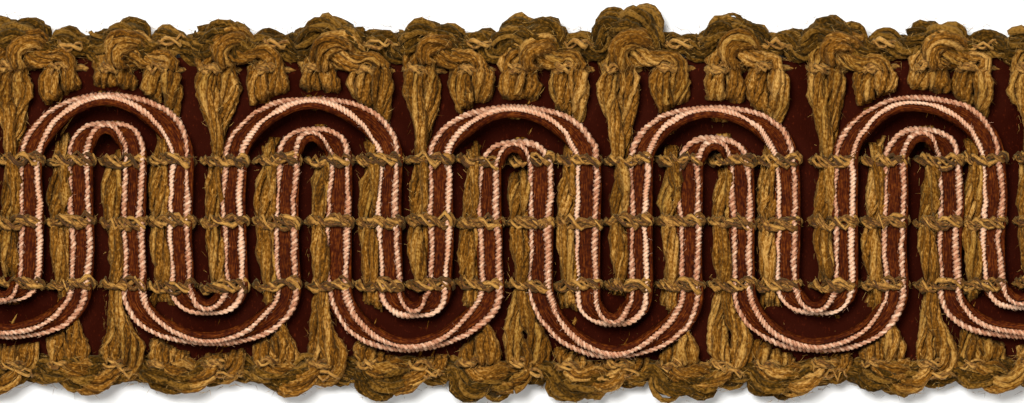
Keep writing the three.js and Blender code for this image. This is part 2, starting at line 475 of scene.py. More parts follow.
@dataclass(frozen=True)
class SpunYarnFinish:
    """Spun or thrown yarn, whose fibres lie along it.

    The fibres give it fine lengthwise streaks: painted highlight where they catch the light and painted
    shade in the hollows between them, over the fibres' own streaky tone. Each strand differs a little in how
    deeply it is dyed, and the hue drifts slowly over the cloth. Sizes are in millimetres. hollow_at, body_at
    and lit_at are where the pattern takes the painted shade, the body colour and the painted highlight, and
    drift_from and drift_full where the drift begins and is complete.
    """

    name: str
    # hollow is painted shade for the hollows between the fibres, body the yarn's own colour and lit painted
    # highlight on the fibres
    hollow: str
    body: str
    lit: str
    drift: str
    roughness: float
    gloss: float
    sheen: float
    sheen_tint: str
    fibre_width: float = 0.035
    fibre_length: float = 0.3
    relief: float = 0.02
    strand_contrast: float = 0.4
    drift_size: float = 1.6
    drift_amount: float = 0.6
    fleck_size: float = 0.11
    fleck_share: float = 0.35
    hollow_at: float = 0.33
    body_at: float = 0.5
    lit_at: float = 0.68
    drift_from: float = 0.4
    drift_full: float = 0.65
    fibre_detail: float = 4.0
    fibre_roughness: float = 0.65
    soft_detail: float = 2.0
    sheen_roughness: float = 0.5

    def soft_noise(self, tree: bpy.types.NodeTree, size: float) -> bpy.types.NodeSocket:
        """Adds soft noise that lies still in the braid's own space.

        Args:
            tree: The material's nodes.
            size: The usual size of its spots.

        Returns:
            The noise, mostly near 0.5.
        """
        place = add_node(tree, "ShaderNodeTexCoord")
        noise = add_node(
            tree,
            "ShaderNodeTexNoise",
            None,
            {"Vector": place.outputs["Object"], "Scale": 1 / (size * MM), "Detail": self.soft_detail},
        )
        return noise.outputs["Fac"]

    def streaks(self, tree: bpy.types.NodeTree) -> bpy.types.NodeSocket:
        """Draws the fibres: streaks in the yarn's own coordinates, broken up by flecks.

        Args:
            tree: The material's nodes.

        Returns:
            The pattern, from 0 in the hollows to 1 on the fibres.
        """
        yarn = add_node(tree, "ShaderNodeUVMap", {"uv_map": "Yarn"})
        scale = (1 / self.fibre_length, 1 / self.fibre_width, 1.0)
        fibres = add_node(
            tree,
            "ShaderNodeMapping",
            {"vector_type": "POINT"},
            {"Vector": yarn.outputs["UV"], "Scale": scale},
        )
        noise = add_node(
            tree,
            "ShaderNodeTexNoise",
            {"noise_dimensions": "2D"},
            {
                "Vector": fibres.outputs["Vector"],
                "Scale": 1.0,
                "Detail": self.fibre_detail,
                "Roughness": self.fibre_roughness,
            },
        )
        flecks = self.soft_noise(tree, self.fleck_size)
        mixed = add_node(
            tree,
            "ShaderNodeMix",
            {"data_type": "FLOAT"},
            {"Factor": self.fleck_share, "A": noise.outputs["Fac"], "B": flecks},
        )
        return mixed.outputs["Result"]

    def colour(self, tree: bpy.types.NodeTree, streaks: bpy.types.NodeSocket) -> bpy.types.NodeSocket:
        """Colours the fibres strand by strand, painting shade into their hollows and highlight onto them,
        with the slow drift of hue over them.

        Args:
            tree: The material's nodes.
            streaks: The fibre pattern.

        Returns:
            The colour.
        """
        tint = add_node(tree, "ShaderNodeAttribute", {"attribute_name": "tint"})
        strand = add_node(
            tree,
            "ShaderNodeMath",
            {"operation": "MULTIPLY_ADD"},
            {0: tint.outputs["Fac"], 1: self.strand_contrast, 2: -self.strand_contrast / 2},
        )
        # The place on the ramp: the fibre pattern, which stands for painted shade and highlight, plus each
        # strand's own tint
        depth = add_node(
            tree, "ShaderNodeMath", {"operation": "ADD"}, {0: streaks, 1: strand.outputs["Value"]}
        )
        dye_and_painted_light = add_node(tree, "ShaderNodeValToRGB", None, {"Fac": depth.outputs["Value"]})
        # The stops run from painted shade at hollow, through the yarn's own colour at body, to painted
        # highlight at lit
        stops = [(self.hollow_at, self.hollow), (self.body_at, self.body), (self.lit_at, self.lit)]
        set_ramp(dye_and_painted_light, stops)
        share = add_node(
            tree,
            "ShaderNodeMapRange",
            None,
            {
                "Value": self.soft_noise(tree, self.drift_size),
                "From Min": self.drift_from,
                "From Max": self.drift_full,
                "To Max": self.drift_amount,
            },
        )
        mixed = add_node(
            tree,
            "ShaderNodeMix",
            {"data_type": "RGBA", "blend_type": "MULTIPLY"},
            {
                MixSocket.FACTOR.value: share.outputs["Result"],
                MixSocket.FIRST.value: dye_and_painted_light.outputs["Color"],
                MixSocket.SECOND.value: linear(self.drift),
            },
        )
        return mixed.outputs[MixSocket.RESULT.value]

    def build(self) -> bpy.types.Material:
        """Makes the material.

        Returns:
            The material.
        """
        material = bpy.data.materials.new(self.name)
        material.use_nodes = True
        tree = material.node_tree
        tree.nodes.clear()
        streaks = self.streaks(tree)
        bump = add_node(
            tree, "ShaderNodeBump", None, {"Strength": 1.0, "Distance": self.relief * MM, "Height": streaks}
        )
        shader = add_node(
            tree,
            "ShaderNodeBsdfPrincipled",
            None,
            {
                "Base Color": self.colour(tree, streaks),
                "Roughness": self.roughness,
                "Specular IOR Level": self.gloss,
                "Sheen Weight": self.sheen,
                "Sheen Roughness": self.sheen_roughness,
                "Sheen Tint": linear(self.sheen_tint),
                "Normal": bump.outputs["Normal"],
            },
        )
        add_node(tree, "ShaderNodeOutputMaterial", None, {"Surface": shader.outputs["BSDF"]})
        return material


# Soft spun weft dyed bronze: dull, with a gold light along its fibres, drifting towards olive
BRONZE_WEFT = SpunYarnFinish(
    "bulky_spun_bronze_weft",
    hollow="#472904",
    body="#865413",
    lit="#C89850",
    drift="#B4AC5C",
    roughness=0.9,
    gloss=0.08,
    sheen=0.12,
    sheen_tint="#D9AE6C",
    fibre_length=0.2,
    relief=0.028,
    strand_contrast=0.2,
    fleck_size=0.09,
    fleck_share=0.42,
    hollow_at=0.35,
    lit_at=0.66,
)

# The same yarn where it lies low along the edges: greener, and deeper for want of light
OLIVE_EDGE = SpunYarnFinish(
    "spun_olive_edge_yarn",
    hollow="#312002",
    body="#5E3D0A",
    lit="#90672A",
    drift="#B2AA5C",
    roughness=0.88,
    gloss=0.06,
    sheen=0.12,
    sheen_tint="#C8B27C",
    fibre_length=0.18,
    relief=0.035,
    strand_contrast=0.2,
    fleck_size=0.09,
    fleck_share=0.5,
    hollow_at=0.38,
    lit_at=0.64,
)

# Single fibre ends of the weft and the sewing thread, which catch more light than what they stand out of
BRONZE_FIBRE = SpunYarnFinish(
    "loose_bronze_fibre",
    hollow="#65400E",
    body="#94672A",
    lit="#CEA25A",
    drift="#C0B468",
    roughness=0.8,
    gloss=0.1,
    sheen=0.2,
    sheen_tint="#E3C692",
    strand_contrast=0.8,
)

# Fine twisted sewing thread, a greener and lighter olive than the weft, with a faint shine
OLIVE_THREAD = SpunYarnFinish(
    "twisted_olive_binding_thread",
    hollow="#3C2203",
    body="#70450F",
    lit="#BE8C42",
    drift="#C8B478",
    roughness=0.72,
    gloss=0.25,
    sheen=0.15,
    sheen_tint="#E6D08C",
    fibre_length=0.16,
    relief=0.012,
    strand_contrast=0.32,
    drift_size=0.5,
    fleck_share=0.45,
    hollow_at=0.36,
    lit_at=0.66,
)

# Rayon wrapped hard round a core: a clean pale rose with a soft shine on each wrap
ROSE_CORD = SpunYarnFinish(
    "twisted_rose_rayon_cord",
    hollow="#A06A4A",
    body="#D2A07C",
    lit="#EEC8A6",
    drift="#DDB496",
    roughness=0.5,
    gloss=0.35,
    sheen=0.1,
    sheen_tint="#FFE4D2",
    fibre_length=0.14,
    relief=0.008,
    strand_contrast=0.25,
    drift_size=0.9,
)

# Thrown rayon threads laid side by side: dark maroon, with brown lights along them
MAROON_RIBBON = SpunYarnFinish(
    "thrown_maroon_rayon_ribbon",
    hollow="#200602",
    body="#461804",
    lit="#804212",
    drift="#B8A070",
    roughness=0.7,
    gloss=0.04,
    sheen=0.0,
    sheen_tint="#B97A55",
    fibre_length=0.4,
    relief=0.015,
)

# The backing threads: the same maroon, dull and nearly black where the light doesn't reach
MAROON_BACKING = SpunYarnFinish(
    "dull_maroon_backing_thread",
    hollow="#321008",
    body="#5C2310",
    lit="#8E4A28",
    drift="#C0A48C",
    roughness=0.95,
    gloss=0.0,
    sheen=0.0,
    sheen_tint="#6A3425",
    fibre_width=0.05,
    relief=0.035,
    fleck_share=0.5,
    hollow_at=0.38,
    lit_at=0.64,
)


# The bands


# Where the rows of stitches over the legs run across the braid, and how far a pinch reaches either way
LEG_ROWS = (1.47, -0.55, -2.6)
PINCH_REACH = 0.35

# How far apart the points are that press the weft down under the bands, how far inside the line of an
# arch or turn the middle of its dark hollow is, and how far outside it that of the dark brim. The dark
# backing shows in both, partly as the ground's own dark threads and partly as painted shade for the shade of
# the bands
BED_SPACING = 0.2
HOLLOW_INSIDE = 0.58
BRIM_OUTSIDE = 0.24


def stitched(y: np.ndarray) -> np.ndarray:
    """How far each place across the braid is under a row of stitches, from 0 to 1."""
    nearest = np.min([np.abs(y - row) for row in LEG_ROWS], axis=0)
    return 1 - ease(nearest, 0.0, PINCH_REACH)


@dataclass
class GimpBand:
    """A flat maroon band with a rose cord along each edge, laid along the braid as a serpentine.

    It lies on its face along the legs and stands on edge round each arch and turn, where its cords meet.
    The pinch is how far its cords are drawn in under a stitch, the lean how far its left edge is lower
    along the legs, and left_sunk how much less of the cord shows there. An arch or turn counts from where
    the band is rolled by turned_from, in radians.
    """

    name: str
    layout: BraidLayout
    first_leg: int
    arch_span: int
    seed: int
    node: str
    ribbon_width: float = 0.84
    ribbon_thickness: float = 0.22
    ribbon_spacing: float = 0.24
    ribbon_tint: float = 0.5
    thread_count: int = 7
    thread_relief: float = 0.045
    groove: float = 0.05
    cord_place: float = 0.28
    cord_radius: float = 0.1
    cord_lift: float = 0.034
    cord_pitch: float = 0.27
    cord_spacing: float = 0.046
    cord_jitter: float = 0.05
    left_sunk: float = 0.17
    ply_sides: int = 4
    ply_place: float = 0.42
    ply_radius: float = 0.68
    base: float = 1.02
    roll_at_apex: float = 1.42
    arc_points: int = 49
    lean: float = 0.2
    pinch: float = 0.08
    end_gap: float = 0.14
    turned_from: float = 0.5
    roll_swing: Swing = Swing(1.3, 0.07)
    side_swing: Swing = Swing(1.4, 0.03)
    height_swing: Swing = Swing(1.7, 0.02)
    cord_sway: Swing = Swing(1.5, 0.035)
    cord_shake: Swing = Swing(0.3, 0.014)
    cord_size_swing: Swing = Swing(0.6, 0.17)
    twist_swing: Swing = Swing(0.8, 1.3)

    def route(self) -> np.ndarray:
        """Follows the middle of the band along the whole braid.

        Returns:
            Its points, closely spaced, each with its x, y and how far it is rolled to its left.
        """
        layout = self.layout
        outer_arch = self.arch_span > layout.legs_per_repeat / 2
        pieces: list[np.ndarray] = []
        for repeat in range(-1, len(layout.repeats) + 1):
            first = repeat * layout.legs_per_repeat + self.first_leg
            row = layout.repeat_of(repeat * layout.legs_per_repeat)
            up = layout.leg_middle(first)
            down = layout.leg_middle(first + self.arch_span)
            following = layout.leg_middle(first + layout.legs_per_repeat)
            arch = layout.arch_outer + row.arch if outer_arch else layout.arch_inner + row.arch_inner
            turn = layout.turn_inner - row.turn_inner if outer_arch else layout.turn_outer - row.turn
            pieces.append(self.arc(up, down, arch, layout.leg_top, outer_arch))
            pieces.append(self.arc(down, following, turn, layout.leg_bottom, not outer_arch))
        line = np.vstack(pieces)
        limit = layout.length / 2 - self.end_gap
        return line[np.abs(line[:, 0]) < limit]

    def arc(self, from_x: float, to_x: float, apex: float, leg_end: float, is_outer: bool) -> np.ndarray:
        """Half a turn of the band.

        Args:
            from_x: The leg that it comes from.
            to_x: The leg that it goes to.
            apex: How far across the braid its far point is.
            leg_end: Where the legs of an outer line end.
            is_outer: Whether it is the outer line, a half ellipse, or the inner one, a half circle.

        Returns:
            Its points, each with its x, y and roll.
        """
        half = (to_x - from_x) / 2
        side = math.copysign(1.0, apex - leg_end)
        reach = apex - leg_end if is_outer else side * half
        angle = np.linspace(0.0, math.pi, self.arc_points)
        x = (from_x + to_x) / 2 - half * np.cos(angle)
        y = apex - reach * (1 - np.sin(angle))
        roll = side * self.roll_at_apex * np.sin(angle) ** 2
        return np.column_stack([x, y, roll])

    def flat_route(self, spacing: float) -> tuple[np.ndarray, np.ndarray]:
        """Follows the route at an even spacing.

        Args:
            spacing: The distance between the points.

        Returns:
            The points, with a height of 0, and how far the band is rolled to its left at each.
        """
        line = even_stations(self.route(), spacing)
        return np.column_stack([line[:, :2], np.zeros(len(line))]), line[:, 2]

    def stations(self, spacing: float) -> tuple[np.ndarray, np.ndarray, np.ndarray, np.ndarray]:
        """The ribbon's middle in space and the directions across it and out of its face.

        The cords follow the route, so the ribbon under them stands back from it where it is on edge.

        Args:
            spacing: The distance between stations.

        Returns:
            The places, the directions across and out, and the distance of each station along the band.
        """
        rng = np.random.default_rng(self.seed)
        flat, turned = self.flat_route(spacing)
        along = distances(flat)
        left, up = level_frame(flat)
        lean = -self.lean * left[:, 0] * np.cos(turned)
        roll = turned + lean + self.roll_swing.along(along, rng)
        cos, sin = np.cos(roll)[:, None], np.sin(roll)[:, None]
        across = left * cos - up * sin
        out = left * sin + up * cos
        stand = np.abs(np.sin(roll)) * self.ribbon_width / 2 + np.cos(roll) * self.ribbon_thickness / 2
        setback = np.sin(roll) * (self.ribbon_thickness / 2 + self.cord_lift)
        places = flat + left * (self.side_swing.along(along, rng) - setback)[:, None]
        places[:, 2] = self.base + stand + self.height_swing.along(along, rng)
        return places, across, out, along

    def beside_turns(self, spacing: float, offset: float) -> np.ndarray:
        """Follows each arch and turn of the band at its side.

        Args:
            spacing: The distance between the points.
            offset: How far inside the band's line they are, or outside where it is negative.

        Returns:
            The x and y of the points.
        """
        flat, turned = self.flat_route(spacing)
        left, _ = level_frame(flat)
        beside = flat - left * (np.sign(turned) * offset)[:, None]
        return beside[np.abs(turned) > self.turned_from, :2]

    def ribbon_section(self) -> np.ndarray:
        """Draws the ribbon's section: a ridge for each thread, with a hollow between the cords.

        Returns:
            Its corners, across and up.
        """
        per_thread = 3
        count = self.thread_count * per_thread
        across = np.linspace(1.0, -1.0, count + 1)
        phase = np.arange(count + 1) / per_thread * math.pi
        ridge = self.thread_relief * (1 - np.abs(np.sin(phase)))
        top = self.ribbon_thickness / 2 - ridge - self.groove * (1 - across**2)
        face = np.column_stack([across * self.ribbon_width / 2, top])
        back_across = np.linspace(-1.0, 1.0, self.thread_count)
        notch = self.thread_relief * (np.arange(self.thread_count) % 2)
        back = np.column_stack([back_across * self.ribbon_width / 2, notch - self.ribbon_thickness / 2])
        return np.vstack([face, back])

    def build_ribbon(self, material: bpy.types.Material) -> bpy.types.Object:
        """Makes the maroon ribbon between and outside the cords.

        Args:
            material: Its material.

        Returns:
            The ribbon.
        """
        mesh = YarnMesh(f"{self.name}_ribbon")
        places, across, out, _ = self.stations(self.ribbon_spacing)
        section = self.ribbon_section()
        sections = np.broadcast_to(section, (len(places), *section.shape))
        mesh.add_tube(places, (across, out), sections, self.ribbon_tint)
        return mesh.build(material)

    def cord_line(self, side: float) -> tuple[np.ndarray, np.ndarray, np.ndarray, np.ndarray]:
        """One cord's middle in space, drawn in a little under each row of stitches.

        Args:
            side: 1 for the cord on the left of the band's way, or -1.

        Returns:
            The places, the directions across and out, and the distance of each station along the band.
        """
        rng = np.random.default_rng([self.seed, int(side > 0)])
        places, across, out, along = self.stations(self.cord_spacing)
        sway = self.cord_sway.along(along, rng) + self.cord_shake.along(along, rng)
        place = side * self.cord_place * (1 - self.pinch * stitched(places[:, 1])) + sway
        middle = places + across * place[:, None] + out * (self.ribbon_thickness / 2 + self.cord_lift)
        return middle, across, out, along

    def build_cords(self, material: bpy.types.Material) -> bpy.types.Object:
        """Makes the two cords, each of two plies twisted hard together.

        Args:
            material: Their material.

        Returns:
            Both cords, as one piece.
        """
        rng = np.random.default_rng(self.seed + 1)
        mesh = YarnMesh(f"{self.name}_cords")
        ply = self.ply_radius * circle(self.ply_sides)[None]
        for side in (1.0, -1.0):
            middle, across, out, along = self.cord_line(side)
            twist = TURN * along / self.cord_pitch + self.twist_swing.along(along, rng)
            uneven = self.cord_size_swing.along(along, rng) + rng.normal(0.0, self.cord_jitter, len(along))
            to_left = np.clip(-side * across[:, 0], 0.0, 1.0)
            size = self.cord_radius * (1 + uneven) * (1 - self.left_sunk * to_left)
            for half in (0.0, math.pi):
                offset = self.ply_place * on_circle(twist + half)
                section = (offset[:, None, :] + ply) * size[:, None, None]
                mesh.add_tube(middle, (across, out), section, float(rng.random()))
        return mesh.build(material)

    def fibre_lines(self) -> list[np.ndarray]:
        """The cords as lines for loose fibres.

        Returns:
            A line for each cord: x, y, z, half width and half height.
        """
        lines = []
        for side in (1.0, -1.0):
            middle = self.cord_line(side)[0]
            lines.append(np.column_stack([middle, np.full((len(middle), 2), self.cord_radius)]))
        return lines

    def build(self, ribbon: bpy.types.Material, cord: bpy.types.Material) -> list[bpy.types.Object]:
        """Makes the band's pieces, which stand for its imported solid.

        Args:
            ribbon: The ribbon's material.
            cord: The cords' material.

        Returns:
            The ribbon and the pair of cords.
        """
        pieces = [self.build_ribbon(ribbon), self.build_cords(cord)]
        for piece in pieces:
            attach(piece, ROOT_BODY)
            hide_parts(self.node)
        return pieces


# The bulky yarns


def stand_for_weft(piece: bpy.types.Object) -> bpy.types.Object:
    """Places a piece of the weft with the braid, where its packed ground is.

    Args:
        piece: The piece.

    Returns:
        The same piece.
    """
    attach(piece, ROOT_BODY)
    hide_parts("weft_ground")
    return piece


class Column(IntEnum):
    """The columns of a yarn's stations, after its place in the first three."""

    HALF_WIDTH = 3
    HALF_HEIGHT = 4
    LAY = 5
    SPREAD = 6


@dataclass(frozen=True)
class YarnStation:
    """One place on the way of a bulky yarn.

    x is how far right of its course's middle it is. y is how far across the braid, or, with from_edge set,
    how far inside the edge that the course's loop reaches. lay is the turn of the plies about each other
    and spread how far apart they stand, where 1 is touching.
    """

    x: float
    y: float
    half_width: float
    top: float
    lay: float = 0.0
    spread: float = 1.0
    from_edge: bool = False


# From the stitches of the top heading down to those of the bottom one. The yarn is open in the top
# heading, thins to the legs of the bands, is pinched under each row of stitches and swells again below.
COURSE_STATIONS = (
    YarnStation(-0.24, 4.42, 0.58, 1.5, 0.0, 1.0),
    YarnStation(-0.24, 4.0, 0.66, 1.8, -0.05, 1.14),
    YarnStation(-0.22, 3.45, 0.59, 1.72, -0.25, 1.14),
    YarnStation(-0.19, 2.85, 0.48, 1.6, -0.7, 1.06),
    YarnStation(-0.18, 2.25, 0.42, 1.5, -1.2),
    YarnStation(-0.2, 1.75, 0.37, 1.35, -1.6),
    YarnStation(-0.21, 1.45, 0.35, 1.15, -1.85),
    YarnStation(-0.14, 0.9, 0.49, 1.74, -2.2),
    YarnStation(-0.13, 0.0, 0.5, 1.76, -2.9),
    YarnStation(-0.2, -0.55, 0.38, 1.18, -3.3),
    YarnStation(-0.14, -1.1, 0.49, 1.74, -3.7),
    YarnStation(-0.14, -2.05, 0.5, 1.72, -4.4),
    YarnStation(-0.2, -2.6, 0.37, 1.16, -4.8),
    YarnStation(-0.22, -3.1, 0.42, 1.4, -5.1, 1.1),
    YarnStation(-0.18, -3.7, 0.48, 1.5, -5.5, 1.15),
    YarnStation(-0.08, -4.3, 0.6, 1.62, -5.8, 1.12),
    YarnStation(0.0, -4.85, 0.72, 1.7, -6.1),
    YarnStation(0.03, -5.2, 0.62, 1.45, -TURN),
)

# Where the weft begins below the first course, and ends below the last
CUT_END = YarnStation(0.0, -5.6, 0.5, 1.3)

# The weft's turn inside the top edge, from an even course over to the next
TOP_TURN = (
    YarnStation(-0.28, 4.8, 0.68, 1.9),
    YarnStation(-0.1, 5.08, 0.7, 1.98),
    YarnStation(0.35, 5.12, 0.66, 1.9),
    YarnStation(0.8, 4.98, 0.58, 1.6),
    YarnStation(1.2, 4.85, 0.54, 1.45),
    YarnStation(1.42, 4.66, 0.56, 1.5),
)

# Its turn inside the bottom edge, from an odd course over to the next
BOTTOM_TURN = (
    YarnStation(0.05, -5.42, 0.6, 1.6),
    YarnStation(0.4, -5.6, 0.6, 1.65),
    YarnStation(0.95, -5.6, 0.58, 1.55),
    YarnStation(1.5, -5.42, 0.56, 1.4),
)

# The yarn that runs along the top edge: a dome over each even course, then low past the odd one
TOP_EDGE = (
    YarnStation(-1.0, 5.12, 0.54, 1.25),
    YarnStation(-0.7, 0.86, 0.62, 1.5, from_edge=True),
    YarnStation(-0.28, 0.62, 0.68, 1.68, from_edge=True),
    YarnStation(0.32, 0.62, 0.68, 1.68, from_edge=True),
    YarnStation(0.74, 0.86, 0.62, 1.5, from_edge=True),
    YarnStation(1.08, 5.14, 0.54, 1.25),
    YarnStation(1.66, 5.28, 0.56, 1.2),
)

# The yarn along the bottom edge, which swells out under each odd course
BOTTOM_EDGE = (
    YarnStation(-0.85, -5.42, 0.52, 1.2),
    YarnStation(-0.4, 0.68, 0.58, 1.5, from_edge=True),
    YarnStation(0.15, 0.6, 0.6, 1.6, from_edge=True),
    YarnStation(0.7, 0.7, 0.58, 1.5, from_edge=True),
    YarnStation(1.1, -5.44, 0.52, 1.2),
    YarnStation(1.66, -5.48, 0.5, 1.1),
)


@dataclass
class BandBed:
    """The bands, as the yarn under them feels them: they press it down to the bed's top.

    The pressing is full within reach of a band's middle, and over at the distance of release. In the
    hollows inside the arches and turns, and in a narrow brim round them, the yarn goes down to hollow_top,
    behind the dark backing, which shows there partly as the ground's own dark threads and partly as painted
    shade for the shade of the bands.
    """

    points: np.ndarray
    hollows: np.ndarray
    brims: np.ndarray
    top: float = 1.06
    free_top: float = 2.2
    reach: float = 0.27
    release: float = 0.5
    hollow_top: float = 0.38
    hollow_reach: float = 0.3
    hollow_release: float = 0.47
    brim_reach: float = 0.12
    brim_release: float = 0.26

    def ceiling(
        self, places: np.ndarray, points: np.ndarray, top: float, reach: float, release: float
    ) -> np.ndarray:
        """How high the yarn may stand at some places because of what lies near them.

        Args:
            places: The places, a row for each.
            points: The middle of what presses.
            top: The height that it presses down to.
            reach: How far from its middle the pressing is full.
            release: Where it is over.

        Returns:
            A height for each place.
        """
        offsets = places[:, None, :2] - points[None]
        nearest = np.sqrt((offsets**2).sum(axis=-1).min(axis=1))
        return top + (self.free_top - top) * ease(nearest, reach, release)

    def press(self, places: np.ndarray, line: np.ndarray) -> tuple[np.ndarray, np.ndarray]:
        """Lowers the places in a yarn that are under a band.

        Args:
            places: The places, a row for each.
            line: The yarn's stations, in step with the places.

        Returns:
            The places, and how flat the yarn is pressed at each, where 1 is not at all.
        """
        under_band = self.ceiling(places, self.points, self.top, self.reach, self.release)
        hollow = self.ceiling(places, self.hollows, self.hollow_top, self.hollow_reach, self.hollow_release)
        brim = self.ceiling(places, self.brims, self.hollow_top, self.brim_reach, self.brim_release)
        ceiling = np.minimum(under_band, np.minimum(hollow, brim))
        half_height = line[:, Column.HALF_HEIGHT]
        underside = line[:, 2] - half_height
        share = np.minimum(1.0, (ceiling - underside) / (2 * half_height))
        pressed = places.copy()
        pressed[:, 2] = underside + (places[:, 2] - underside) * share
        return pressed, share


@dataclass(frozen=True)
class BulkyYarn:
    """Soft yarn of two plies, each a ring of loose strands round a core.

    Its places are shares of the yarn's half width and half height; its pitches and waves are millimetres.
    """

    plies: int = 2
    strands_per_ply: int = 9
    strand_sides: int = 4
    core_sides: int = 4
    core_tint: float = 0.2
    ply_place: float = 0.47
    strand_place: float = 0.38
    strand_radius: float = 0.155
    core_radius: float = 0.36
    strand_pitch: float = 5.5
    roughness: float = 0.2
    underside: float = 0.3
    fine_from: float = 2.6
    fine_to: float = 3.6
    fineness: float = 1.1
    spacing: float = 0.27
    sway_along: Swing = Swing(1.5, 0.04)
    sway_across: Swing = Swing(1.7, 0.04)
    width_swing: Swing = Swing(1.1, 0.06)
    lay_swing: Swing = Swing(2.4, 0.3)
    strand_turn_swing: Swing = Swing(0.8, 0.34)
    strand_place_swing: Swing = Swing(0.6, 0.2)
    strand_size_swing: Swing = Swing(0.5, 0.2)

    def row(
        self, layout: BraidLayout, station: YarnStation, course: int, turned: float, way: float
    ) -> tuple[float, ...]:
        """Makes a control row of a station.

        Args:
            layout: The plan of the braid.
            station: The station.
            course: The course that it belongs to.
            turned: The turn that the plies have made before this course.
            way: 1 where the course is followed in the order of its stations, or -1 against it.

        Returns:
            x, y, z, half width, half height, turn of the plies and their spread.
        """
        x = layout.course_middle(course) + station.x
        edge = layout.loop_edge(course)
        y = edge - math.copysign(station.y, edge) if station.from_edge else station.y
        z = (self.underside + station.top) / 2
        half_height = (station.top - self.underside) / 2
        return (x, y, z, station.half_width, half_height, turned + way * station.lay, station.spread)

    def curve(self, rows: Sequence[Sequence[float]]) -> np.ndarray:
        """Runs the yarn through its control rows.

        Args:
            rows: The control rows.

        Returns:
            Its stations, closer together in the headings.
        """
        dense = smooth_line(rows)
        fineness = 1 + self.fineness * ease(np.abs(dense[:, 1]), self.fine_from, self.fine_to)
        return even_stations(dense, self.spacing, fineness)

    def roughen(self, line: np.ndarray, rng: np.random.Generator) -> np.ndarray:
        """Makes a yarn's line and thickness uneven, as hand-fed soft yarn is.

        Args:
            line: Its stations.
            rng: The source of random numbers.

        Returns:
            The uneven stations.
        """
        along = distances(line[:, :3])
        uneven = line.copy()
        uneven[:, 0] += self.sway_along.along(along, rng)
        uneven[:, 1] += self.sway_across.along(along, rng)
        uneven[:, Column.HALF_WIDTH] *= 1 + self.width_swing.along(along, rng)
        uneven[:, Column.LAY] += self.lay_swing.along(along, rng)
        return uneven

    def add_strand(
        self,
        mesh: YarnMesh,
        line: np.ndarray,
        offset: np.ndarray,
        ring: np.ndarray,
        tint: float,
        bed: BandBed | None,
    ) -> None:
        """Adds one strand, pressed flatter where a band lies over it.

        Args:
            mesh: The mesh that it goes into.
            line: The yarn's stations.
            offset: How far the strand is left of and above the yarn's middle at each station.
            ring: The strand's own section at each station.
            tint: Its depth of dye.
            bed: The bands over it, if there are any.
        """
        left, up = level_frame(line[:, :3])
        middle = line[:, :3] + left * offset[:, :1] + up * offset[:, 1:]
        if bed is not None:
            middle, share = bed.press(middle, line)
            ring = ring * np.column_stack([np.ones_like(share), share])[:, None, :]
        mesh.add_tube(middle, (left, up), ring, tint)

    def add_to(
        self,
        mesh: YarnMesh,
        line: np.ndarray,
        along: np.ndarray,
        rng: np.random.Generator,
        bed: BandBed | None = None,
    ) -> None:
        """Adds the strands of one stretch of yarn.

        Args:
            mesh: The mesh that they go into.
            line: The stretch's stations.
            along: How far each station is along the whole yarn.
            rng: The source of random numbers.
            bed: The bands over it, if there are any.
        """
        reach = line[:, [Column.HALF_WIDTH, Column.HALF_HEIGHT]]
        size = np.sqrt(reach[:, 0] * reach[:, 1])
        core = self.core_radius * circle(self.core_sides)[None] * reach[:, None, :]
        for ply in range(self.plies):
            angle = ply * TURN / self.plies + line[:, Column.LAY]
            place = (self.ply_place * line[:, Column.SPREAD])[:, None] * on_circle(angle)
            self.add_strand(mesh, line, place * reach, core, self.core_tint, bed)
            for strand in range(self.strands_per_ply):
                start = strand * TURN / self.strands_per_ply
                turn = start + TURN * along / self.strand_pitch + self.strand_turn_swing.along(along, rng)
                far = self.strand_place * (1 + self.strand_place_swing.along(along, rng))
                offset = place + far[:, None] * on_circle(turn)
                radius = self.strand_radius * (1 + self.strand_size_swing.along(along, rng)) * size
                rough = 1 + rng.normal(0.0, self.roughness, (len(line), self.strand_sides, 1))
                ring = circle(self.strand_sides)[None] * radius[:, None, None] * rough
                self.add_strand(mesh, line, offset * reach, ring, float(rng.random()), bed)


